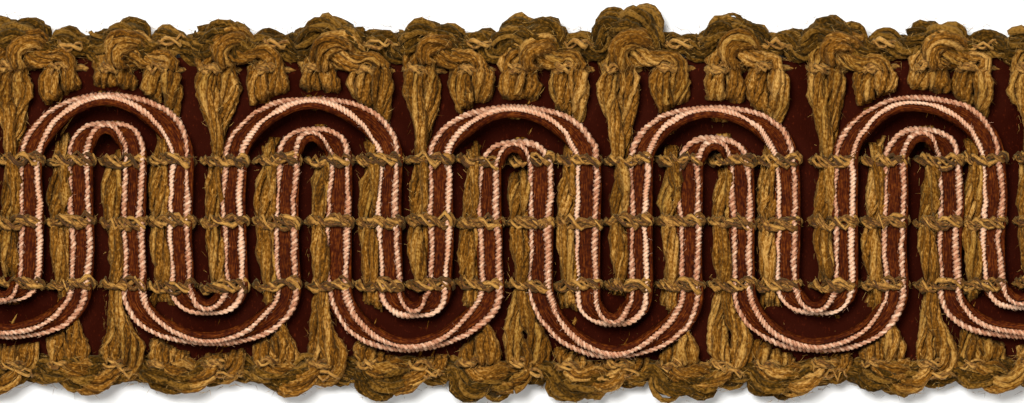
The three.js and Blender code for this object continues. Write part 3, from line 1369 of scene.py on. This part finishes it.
@dataclass
class FillingWeft:
    """The bulky yarn that goes back and forth across the braid, once for each course.

    It lies under the bands, and goes behind the backing inside and close round their arches and turns.
    """

    layout: BraidLayout
    bed: BandBed
    yarn: BulkyYarn = BulkyYarn()
    seed: int = 11
    piece_count: int = 2
    turn_twist: float = TURN

    def control_rows(self) -> list[tuple[float, ...]]:
        """Leads the yarn up the even courses and down the odd ones, with its plies always turning on.

        Returns:
            The control rows of the whole yarn.
        """
        layout, yarn = self.layout, self.yarn
        last = layout.course_count - 1
        full_turn = COURSE_STATIONS[-1].lay
        turned = full_turn
        rows = [yarn.row(layout, CUT_END, 0, 0.0, 1.0)]
        for course in range(layout.course_count):
            if course % 2 == 0:
                upwards = reversed(COURSE_STATIONS)
                rows += [yarn.row(layout, station, course, turned, -1.0) for station in upwards]
                turn = TOP_TURN
            else:
                rows += [yarn.row(layout, station, course, turned, 1.0) for station in COURSE_STATIONS]
                turned += full_turn
                turn = BOTTOM_TURN if course < last else ()
            for index, station in enumerate(turn):
                share = (index + 1) / (len(turn) + 1)
                rows.append(yarn.row(layout, station, course, turned - share * self.turn_twist, 1.0))
            turned += (full_turn if course % 2 else 0.0) - self.turn_twist
        rows.append(yarn.row(layout, CUT_END, last, turned - full_turn, 1.0))
        return rows

    def stations(self) -> np.ndarray:
        """The yarn's stations, uneven."""
        line = self.yarn.curve(self.control_rows())
        return self.yarn.roughen(line, np.random.default_rng(self.seed))

    def build(self, line: np.ndarray, material: bpy.types.Material) -> list[bpy.types.Object]:
        """Makes the yarn in a few pieces that join end to end.

        Args:
            line: The yarn's stations.
            material: The yarn's material.

        Returns:
            The pieces, from the left.
        """
        along = distances(line[:, :3])
        ends = np.linspace(0, len(line) - 1, self.piece_count + 1).astype(int)
        pieces = []
        for index, (first, last) in enumerate(zip(ends[:-1], ends[1:])):
            mesh = YarnMesh(f"filling_weft_{index + 1}")
            stretch = slice(first, last + 1)
            rng = np.random.default_rng(self.seed + index)
            self.yarn.add_to(mesh, line[stretch], along[stretch], rng, self.bed)
            pieces.append(stand_for_weft(mesh.build(material)))
        return pieces


@dataclass
class WeftUnderside:
    """The lower side of the weft, which shows on the back of the braid as a rib for each course."""

    layout: BraidLayout
    yarn: BulkyYarn = BulkyYarn(
        plies=1,
        strands_per_ply=6,
        ply_place=0.0,
        strand_place=0.66,
        strand_radius=0.36,
        core_radius=0.6,
        strand_pitch=3.4,
        spacing=0.48,
        fineness=0.0,
    )
    seed: int = 41
    height: float = 0.26
    half_height: float = 0.15

    def build(self, material: bpy.types.Material) -> bpy.types.Object:
        """Makes the ribs of all the courses as one piece.

        Args:
            material: The weft's material.

        Returns:
            The ribs.
        """
        rng = np.random.default_rng(self.seed)
        mesh = YarnMesh("weft_underside")
        for course in range(self.layout.course_count):
            middle = self.layout.course_middle(course)
            rows = [
                (middle + station.x, station.y, self.height, station.half_width, self.half_height, 0.0, 1.0)
                for station in COURSE_STATIONS
            ]
            line = self.yarn.roughen(self.yarn.curve(rows), rng)
            self.yarn.add_to(mesh, line, distances(line[:, :3]), rng)
        return stand_for_weft(mesh.build(material))


@dataclass
class EdgeYarns:
    """The two yarns that run along the edges and give them their scallops."""

    layout: BraidLayout
    yarn: BulkyYarn = BulkyYarn(
        strands_per_ply=8,
        strand_sides=5,
        ply_place=0.3,
        strand_place=0.5,
        core_radius=0.48,
        spacing=0.3,
        strand_pitch=2.9,
        underside=0.06,
    )
    seed: int = 21
    twist_pitch: float = 2.3
    end_gap: float = 0.1

    def stations(self, table: Sequence[YarnStation], first_course: int) -> np.ndarray:
        """The stations of one edge yarn.

        Args:
            table: Its way past one course and on to the next but one.
            first_course: The first course that it swells at.

        Returns:
            The stations, cut off at the braid's ends.
        """
        rows = []
        for course in range(first_course - 2, self.layout.course_count + 2, 2):
            rows += [self.yarn.row(self.layout, station, course, 0.0, 1.0) for station in table]
        line = self.yarn.curve(rows)
        line[:, Column.LAY] = -TURN * distances(line[:, :3]) / self.twist_pitch
        line = line[np.abs(line[:, 0]) < self.layout.length / 2 - self.end_gap]
        return self.yarn.roughen(line, np.random.default_rng(self.seed + first_course))

    def build(self, lines: Sequence[np.ndarray], material: bpy.types.Material) -> list[bpy.types.Object]:
        """Makes both yarns.

        Args:
            lines: Their stations, the top one's first.
            material: Their material.

        Returns:
            The yarns.
        """
        pieces = []
        for name, line in zip(("top_edge_yarn", "bottom_edge_yarn"), lines):
            mesh = YarnMesh(name)
            self.yarn.add_to(mesh, line, distances(line[:, :3]), np.random.default_rng(self.seed))
            pieces.append(stand_for_weft(mesh.build(material)))
        return pieces


# A direction that next to no fibre follows, from which the sides of a fibre are worked out
SKEW = (0.31, 0.17, 0.93)


@dataclass
class LooseFibres:
    """Fine fibre ends that lie about on a yarn and stand out of it.

    wrap is how far past level they reach round it, in radians, depth the share of its half size at which
    they start, and the other shares say how much a fibre leans along, round and out of the yarn.
    """

    name: str
    count: int
    seed: int = 71
    radius: float = 0.007
    tip_share: float = 0.35
    shortest: float = 0.08
    longest: float = 0.32
    wrap: float = 0.15
    depth: float = 0.94
    lean_along: float = 1.0
    lean_round: float = 0.7
    stand: float = 0.4
    least_stand: float = 0.04
    sides: int = 3

    def add_along(
        self, mesh: YarnMesh, line: np.ndarray, count: int, rng: np.random.Generator, bed: BandBed | None
    ) -> None:
        """Adds fibres at random places on the upper side of one yarn.

        Args:
            mesh: The mesh that they go into.
            line: The yarn's stations: x, y, z, half width and half height.
            count: How many to add.
            rng: The source of random numbers.
            bed: The bands that press the yarn down, if there are any.
        """
        left, up = level_frame(line[:, :3])
        stations = rng.integers(1, len(line) - 1, count)
        angle = rng.uniform(-self.wrap, math.pi + self.wrap, count)[:, None]
        half_width = line[stations, Column.HALF_WIDTH][:, None]
        half_height = line[stations, Column.HALF_HEIGHT][:, None]
        reach = np.cos(angle) * half_width * left[stations] + np.sin(angle) * half_height * up[stations]
        start = line[stations, :3] + self.depth * reach
        if bed is not None:
            start, _ = bed.press(start, line[stations])
        forward = np.cross(left, up)[stations]
        outwards = unit(reach)
        around = np.cross(forward, outwards)
        lean_along = rng.uniform(-self.lean_along, self.lean_along, (count, 1))
        lean_round = rng.uniform(-self.lean_round, self.lean_round, (count, 1))
        lean_out = self.stand * rng.random((count, 1)) ** 2 + self.least_stand
        way = unit(forward * lean_along + around * lean_round + outwards * lean_out)
        end = start + way * rng.uniform(self.shortest, self.longest, (count, 1))
        low = np.minimum(start[:, 2], end[:, 2])
        lift = np.maximum(self.radius - low, 0.0)
        start[:, 2] += lift
        end[:, 2] += lift
        side = unit(np.cross(unit(np.array(SKEW)), way))
        over = np.cross(way, side)
        taper = np.array([1.0, self.tip_share])[:, None, None]
        section = self.radius * circle(self.sides)[None] * taper
        tints = rng.random(count)
        for index in range(count):
            points = np.array([start[index], end[index]])
            mesh.add_tube(points, (side[[index, index]], over[[index, index]]), section, float(tints[index]))

    def build(
        self,
        lines: Sequence[np.ndarray],
        slot: str,
        material: bpy.types.Material,
        bed: BandBed | None = None,
    ) -> bpy.types.Object:
        """Makes the fibres of some yarns as one piece.

        Args:
            lines: The yarns' stations.
            slot: Not used.
            material: The fibres' material.
            bed: The bands that press the first yarn down, if there are any.

        Returns:
            The piece.
        """
        rng = np.random.default_rng(self.seed)
        mesh = YarnMesh(self.name)
        total = sum(len(line) for line in lines)
        for index, line in enumerate(lines):
            self.add_along(mesh, line, int(self.count * len(line) / total), rng, bed if index == 0 else None)
        piece = mesh.build(material)
        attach(piece, ROOT_BODY)
        return piece


# The backing


# The backing's dark maroon between the courses is partly the ground's own dark threads and partly painted
# shade: a dark sheet for the shade in the gaps
@dataclass
class WovenBacking:
    """The thin dark cloth that the weft is worked through, woven of maroon threads.

    It is caught in the lower side of each course of weft and stands higher by rise between them. Its
    threads are drawn about twice as coarse as real ones, so that they show.
    """

    layout: BraidLayout
    top_edge: float = 4.8
    bottom_edge: float = -5.25
    underside: float = 0.36
    thickness: float = 0.1
    thread_spacing: float = 0.48
    relief: float = 0.05
    cells_per_thread: int = 2
    end_gap: float = 0.3
    weft_offset: float = -0.18
    dip_half: float = 0.3
    gap_half: float = 0.78
    rise: float = 0.1

    def height_at(self, x: np.ndarray, y: np.ndarray) -> np.ndarray:
        """The height of the cloth's underside: a plain weave over the dips and rises.

        Args:
            x: The places along the braid.
            y: The places across it.

        Returns:
            The height at each place.
        """
        courses = range(self.layout.course_count)
        middles = np.array([self.layout.course_middle(course) + self.weft_offset for course in courses])
        nearest = np.abs(x[..., None] - middles).min(axis=-1)
        weave = np.cos(math.pi * x / self.thread_spacing) * np.cos(math.pi * y / self.thread_spacing)
        return self.underside + self.relief * weave + self.rise * ease(nearest, self.dip_half, self.gap_half)

    @property
    def size(self) -> tuple[float, float]:
        """The cloth's length and width when flat."""
        return self.layout.length - 2 * self.end_gap, self.top_edge - self.bottom_edge

    def build(self, material: bpy.types.Material) -> bpy.types.Object:
        """Makes the cloth as one closed sheet.

        Args:
            material: Its material.

        Returns:
            The cloth.
        """
        length, width = self.size
        columns = int(round(length / self.thread_spacing)) * self.cells_per_thread
        rows = int(round(width / self.thread_spacing)) * self.cells_per_thread
        x = np.linspace(-length / 2, length / 2, columns + 1)
        y = np.linspace(self.bottom_edge, self.top_edge, rows + 1)
        grid_x, grid_y = np.meshgrid(x, y, indexing="ij")
        height = self.height_at(grid_x, grid_y)
        face = np.stack([grid_x, grid_y, height + self.thickness], axis=-1)
        back = np.stack([grid_x, grid_y, height], axis=-1)
        points = np.vstack([face.reshape(-1, 3), back.reshape(-1, 3)])
        layer = face.shape[0] * face.shape[1]
        index = np.arange(layer).reshape(face.shape[:2])
        here, right = index[:-1, :-1].ravel(), index[1:, :-1].ravel()
        across, up = index[1:, 1:].ravel(), index[:-1, 1:].ravel()
        rim = np.concatenate([index[:-1, 0], index[-1, :-1], index[:0:-1, -1], index[0, :0:-1]])
        following = np.roll(rim, -1)
        quads = [
            np.column_stack([here, right, across, up]),
            np.column_stack([up, across, right, here]) + layer,
            np.column_stack([rim + layer, following + layer, following, rim]),
        ]
        mesh = bpy.data.meshes.new("woven_backing")
        mesh.from_pydata((points * MM).tolist(), [], np.vstack(quads).tolist())
        mesh.update(calc_edges=True)
        yarn_map = mesh.uv_layers.new(name="Yarn")
        corners = np.zeros(len(mesh.loops), dtype=np.int32)
        mesh.loops.foreach_get("vertex_index", corners)
        yarn_map.uv.foreach_set("vector", points[corners][:, [1, 0]].astype(np.float32).ravel())
        mesh.attributes.new("tint", "FLOAT", "POINT")
        piece = make_piece(mesh, material)
        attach(piece, ROOT_BODY)
        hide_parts("weft_ground")
        return piece


# The sewing


@dataclass(frozen=True)
class StitchRow:
    """One row of stitches: where it runs, its threads, and its way past each course.

    spread is how far the threads stand from the row's middle and palest_from the least tint that they
    have. way_even and way_odd hold pairs: how far right of the course's middle, and how high.
    """

    y: float
    threads: int
    spread: float
    palest_from: float
    way_even: tuple[tuple[float, float], ...]
    way_odd: tuple[tuple[float, float], ...]


# Over the weft, the left cord, the band and the right cord, and down into the gap beyond
OVER_LEG = (
    (-0.75, 0.45),
    (-0.64, 0.8),
    (-0.5, 1.12),
    (-0.22, 1.34),
    (0.06, 1.46),
    (0.35, 1.42),
    (0.6, 1.52),
    (0.73, 1.22),
    (0.78, 0.8),
    (0.84, 0.45),
)

# Up over each tuft of a heading and down into the gap beside it, over an edge yarn where it is low, under
# its domes, and behind the weft, where the row shows on the back
OVER_TOP_HEADING = ((-0.84, 0.42), (-0.7, 1.05), (-0.5, 1.5), (-0.28, 1.3), (0.05, 0.9), (0.5, 0.5))
OVER_BOTTOM_HEADING = ((-0.78, 0.42), (-0.6, 1.1), (-0.34, 1.5), (-0.05, 1.2), (0.3, 0.85), (0.62, 0.5))
OVER_LOW_EDGE = ((-0.45, 0.9), (-0.25, 1.2), (0.0, 1.3), (0.3, 1.22), (0.5, 0.9))
UNDER_DOME = ((-0.6, 0.7), (0.0, 0.6), (0.6, 0.7))
BEHIND_COURSE = ((-0.75, 0.34), (-0.5, 0.18), (-0.18, 0.09), (0.14, 0.18), (0.4, 0.33), (0.65, 0.37))

STITCH_ROWS = (
    StitchRow(LEG_ROWS[0], 5, 0.12, 0.05, OVER_LEG, OVER_LEG),
    StitchRow(LEG_ROWS[1], 5, 0.12, 0.05, OVER_LEG, OVER_LEG),
    StitchRow(LEG_ROWS[2], 5, 0.12, 0.05, OVER_LEG, OVER_LEG),
    StitchRow(4.44, 3, 0.09, 0.4, OVER_TOP_HEADING, OVER_TOP_HEADING),
    StitchRow(-5.18, 3, 0.09, 0.4, OVER_BOTTOM_HEADING, OVER_BOTTOM_HEADING),
    StitchRow(5.24, 2, 0.1, 0.5, UNDER_DOME, OVER_LOW_EDGE),
    StitchRow(-5.5, 2, 0.1, 0.5, OVER_LOW_EDGE, UNDER_DOME),
    StitchRow(LEG_ROWS[0], 3, 0.12, 0.1, BEHIND_COURSE, BEHIND_COURSE),
    StitchRow(LEG_ROWS[1], 3, 0.12, 0.1, BEHIND_COURSE, BEHIND_COURSE),
    StitchRow(LEG_ROWS[2], 3, 0.12, 0.1, BEHIND_COURSE, BEHIND_COURSE),
)


@dataclass
class BindingStitches:
    """The rows of fine thread that go over each course of weft, with its leg of the band, and dive between.

    flatten holds how far the threads spread across the row and in height, as shares of its spread. They
    close up to the share tight where the row is as low as dive, and have their full spread at crest.
    """

    layout: BraidLayout
    seed: int = 31
    thread_radius: float = 0.066
    thread_sides: int = 4
    twist_pitch: float = 0.95
    spacing: float = 0.155
    end_gap: float = 0.12
    flatten: tuple[float, float] = (1.3, 0.6)
    size_range: tuple[float, float] = (0.75, 1.25)
    tight: float = 0.35
    dive: float = 0.6
    crest: float = 1.25
    fibre_reach: float = 0.12
    row_swing: Swing = Swing(1.1, 0.045)
    twist_swing: Swing = Swing(0.6, 1.1)
    spread_swing: Swing = Swing(0.4, 0.36)
    size_swing: Swing = Swing(0.4, 0.16)

    def line(self, row: StitchRow) -> np.ndarray:
        """Follows the middle of one row along the whole braid.

        Args:
            row: The row.

        Returns:
            Its points.
        """
        limit = self.layout.length / 2 - self.end_gap
        rows = []
        for course in range(self.layout.course_count):
            middle = self.layout.course_middle(course)
            way = row.way_odd if course % 2 else row.way_even
            rows.extend((middle + across, row.y, height, 0.0) for across, height in way)
        return even_stations(smooth_line([r for r in rows if abs(r[0]) < limit]), self.spacing)[:, :3]

    def add_row(self, mesh: YarnMesh, row: StitchRow, rng: np.random.Generator) -> None:
        """Adds the threads of one row.

        Args:
            mesh: The mesh that they go into.
            row: The row.
            rng: The source of random numbers.
        """
        line = self.line(row)
        along = distances(line)
        line[:, 1] += self.row_swing.along(along, rng)
        directions = sideways_frame(line)
        open_share = self.tight + (1 - self.tight) * ease(line[:, 2], self.dive, self.crest)
        for thread in range(row.threads):
            turn = thread * TURN / row.threads + TURN * along / self.twist_pitch
            angle = turn + self.twist_swing.along(along, rng)
            far = row.spread * open_share * (1 + self.spread_swing.along(along, rng))
            offset = far[:, None] * on_circle(angle) * self.flatten
            uneven = 1 + self.size_swing.along(along, rng)
            radius = self.thread_radius * rng.uniform(*self.size_range) * uneven
            section = offset[:, None, :] + circle(self.thread_sides)[None] * radius[:, None, None]
            depth = (thread + float(rng.random())) / row.threads
            mesh.add_tube(line, directions, section, row.palest_from + (1 - row.palest_from) * depth)

    def fibre_lines(self) -> list[np.ndarray]:
        """The rows as lines for loose fibres.

        Returns:
            A line for each row: x, y, z, half width and half height.
        """
        lines = [self.line(row) for row in STITCH_ROWS]
        return [np.column_stack([line, np.full((len(line), 2), self.fibre_reach)]) for line in lines]

    def build(self, material: bpy.types.Material) -> bpy.types.Object:
        """Makes every row.

        Args:
            material: The thread's material.

        Returns:
            The rows, as one piece.
        """
        rng = np.random.default_rng(self.seed)
        mesh = YarnMesh("binding_stitches")
        for row in STITCH_ROWS:
            self.add_row(mesh, row, rng)
        piece = mesh.build(material)
        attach(piece, ROOT_BODY)
        return piece


# The stage


@dataclass
class Studio:
    """A plain pale floor, soft light and a long lens straight above the braid.

    middle_row is the row of the photo that the braid's middle lies on, and subject_height the height at
    which mm_per_pixel holds.
    """

    layout: BraidLayout
    photo_width: int = 1024
    photo_height: int = 403
    mm_per_pixel: float = 0.03256
    middle_row: float = 205.0
    subject_height: float = 1.3
    camera_height: float = 500.0
    sensor_width: float = 36.0
    nearest_seen: float = 10.0
    farthest_seen: float = 10000.0
    floor_half: float = 6000.0
    floor_gap: float = 0.06
    floor_roughness: float = 0.9
    world_strength: float = 0.36
    key_power: float = 2.55
    key_place: tuple[float, float, float] = (-80.0, 120.0, 460.0)
    key_size: float = 150.0
    fill_power: float = 0.55
    fill_place: tuple[float, float, float] = (260.0, -120.0, 380.0)
    fill_size: float = 300.0

    def build_floor(self) -> None:
        """Makes the floor just under the braid."""
        half = self.floor_half * MM
        mesh = bpy.data.meshes.new("floor")
        corners = [(-half, -half, 0), (half, -half, 0), (half, half, 0), (-half, half, 0)]
        mesh.from_pydata(corners, [], [(0, 1, 2, 3)])
        material = bpy.data.materials.new("matt_white_paper_floor")
        material.use_nodes = True
        shader = material.node_tree.nodes["Principled BSDF"]
        shader.inputs["Base Color"].default_value = linear("#F8F8F6")
        shader.inputs["Roughness"].default_value = self.floor_roughness
        mesh.materials.append(material)
        floor = add_object("floor", mesh)
        floor.location.z = -self.floor_gap * MM

    def build_light(self, name: str, place: Sequence[float], size: float, power: float) -> None:
        """Makes one soft square light that points at the braid.

        Args:
            name: The light's name.
            place: Where it is, in millimetres.
            size: Its side, in millimetres.
            power: Its power, in watts.
        """
        data = bpy.data.lights.new(name, "AREA")
        data.shape = "SQUARE"
        data.size = size * MM
        data.energy = power
        light = add_object(name, data)
        light.location = [value * MM for value in place]
        light.rotation_mode = "QUATERNION"
        light.rotation_quaternion = (-light.location).to_track_quat("-Z", "Y")

    def build_world(self) -> None:
        """Makes the even pale light from all round."""
        world = bpy.data.worlds.new("pale_room")
        world.use_nodes = True
        background = world.node_tree.nodes["Background"]
        background.inputs["Color"].default_value = linear("#F7F5F1")
        background.inputs["Strength"].default_value = self.world_strength
        bpy.context.scene.world = world

    def build_camera(self) -> None:
        """Makes the camera: it looks straight down and frames the braid as the photo does."""
        width = self.photo_width * self.mm_per_pixel
        data = bpy.data.cameras.new("camera")
        data.sensor_width = self.sensor_width
        data.lens = self.sensor_width * self.camera_height / width
        data.clip_start = self.nearest_seen * MM
        data.clip_end = self.farthest_seen * MM
        camera = add_object("camera", data)
        middle_y = (self.middle_row - self.photo_height / 2) * self.mm_per_pixel
        height = self.camera_height + self.subject_height
        camera.location = Vector((self.layout.leg_offset, middle_y, height)) * MM
        bpy.context.scene.camera = camera

    def build(self) -> None:
        """Makes the floor, the lights, the camera and the way that light becomes colour."""
        self.build_floor()
        self.build_light("key", self.key_place, self.key_size, self.key_power)
        self.build_light("fill", self.fill_place, self.fill_size, self.fill_power)
        self.build_world()
        self.build_camera()
        view = bpy.context.scene.view_settings
        view.view_transform = "Standard"
        view.look = "None"


def report(pieces: Iterable[bpy.types.Object]) -> None:
    """Logs each piece with the number of triangles in it.

    Args:
        pieces: The pieces.
    """
    for piece in pieces:
        triangles = sum(len(face.vertices) - 2 for face in piece.data.polygons)
        log.info("%s: %d triangles", piece.name, triangles)


def main() -> None:
    """Builds the braid in the order in which it is made, and then the stage."""
    logging.basicConfig(level=logging.INFO, format="%(name)s: %(message)s")
    low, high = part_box("weft_ground")
    layout = BraidLayout(length=(high[0] - low[0]) / MM)
    bronze, fibre, olive = BRONZE_WEFT.build(), BRONZE_FIBRE.build(), OLIVE_THREAD.build()
    rose, maroon, dark = ROSE_CORD.build(), MAROON_RIBBON.build(), MAROON_BACKING.build()

    backing = WovenBacking(layout)
    backing_piece = backing.build(dark)
    report([backing_piece])

    bands = [
        GimpBand("band_a", layout, first_leg=0, arch_span=3, seed=101, node="gimp_band_a"),
        GimpBand("band_b", layout, first_leg=1, arch_span=1, seed=202, node="gimp_band_b"),
    ]
    bed = BandBed(
        points=np.vstack([even_stations(band.route(), BED_SPACING)[:, :2] for band in bands]),
        hollows=np.vstack([band.beside_turns(BED_SPACING, HOLLOW_INSIDE) for band in bands]),
        brims=np.vstack([band.beside_turns(BED_SPACING, -BRIM_OUTSIDE) for band in bands]),
    )
    weft = FillingWeft(layout, bed)
    weft_line = weft.stations()
    weft_pieces = [*weft.build(weft_line, bronze), WeftUnderside(layout).build(bronze)]
    report(weft_pieces)

    edges = EdgeYarns(layout)
    edge_lines = [edges.stations(TOP_EDGE, 0), edges.stations(BOTTOM_EDGE, 1)]
    edge_pieces = edges.build(edge_lines, OLIVE_EDGE.build())
    report(edge_pieces)

    band_pieces = [piece for band in bands for piece in band.build(maroon, rose)]
    report(band_pieces)

    sewing = BindingStitches(layout)
    stitches = sewing.build(olive)
    weft_nap = LooseFibres("loose_weft_fibres", count=8000)
    stitch_nap = LooseFibres("loose_stitch_fibres", count=3400, longest=0.26)
    cord_nap = LooseFibres("loose_cord_fibres", count=1800, longest=0.17)
    cord_lines = [line for band in bands for line in band.fibre_lines()]
    fibres = [
        weft_nap.build([weft_line, *edge_lines], "weft_yarn", fibre, bed),
        stitch_nap.build(sewing.fibre_lines(), "weft_yarn", fibre),
        cord_nap.build(cord_lines, "gimp_band", rose),
    ]
    report([stitches, *fibres])

    Studio(layout).build()


if __name__ == "__main__":
    main()
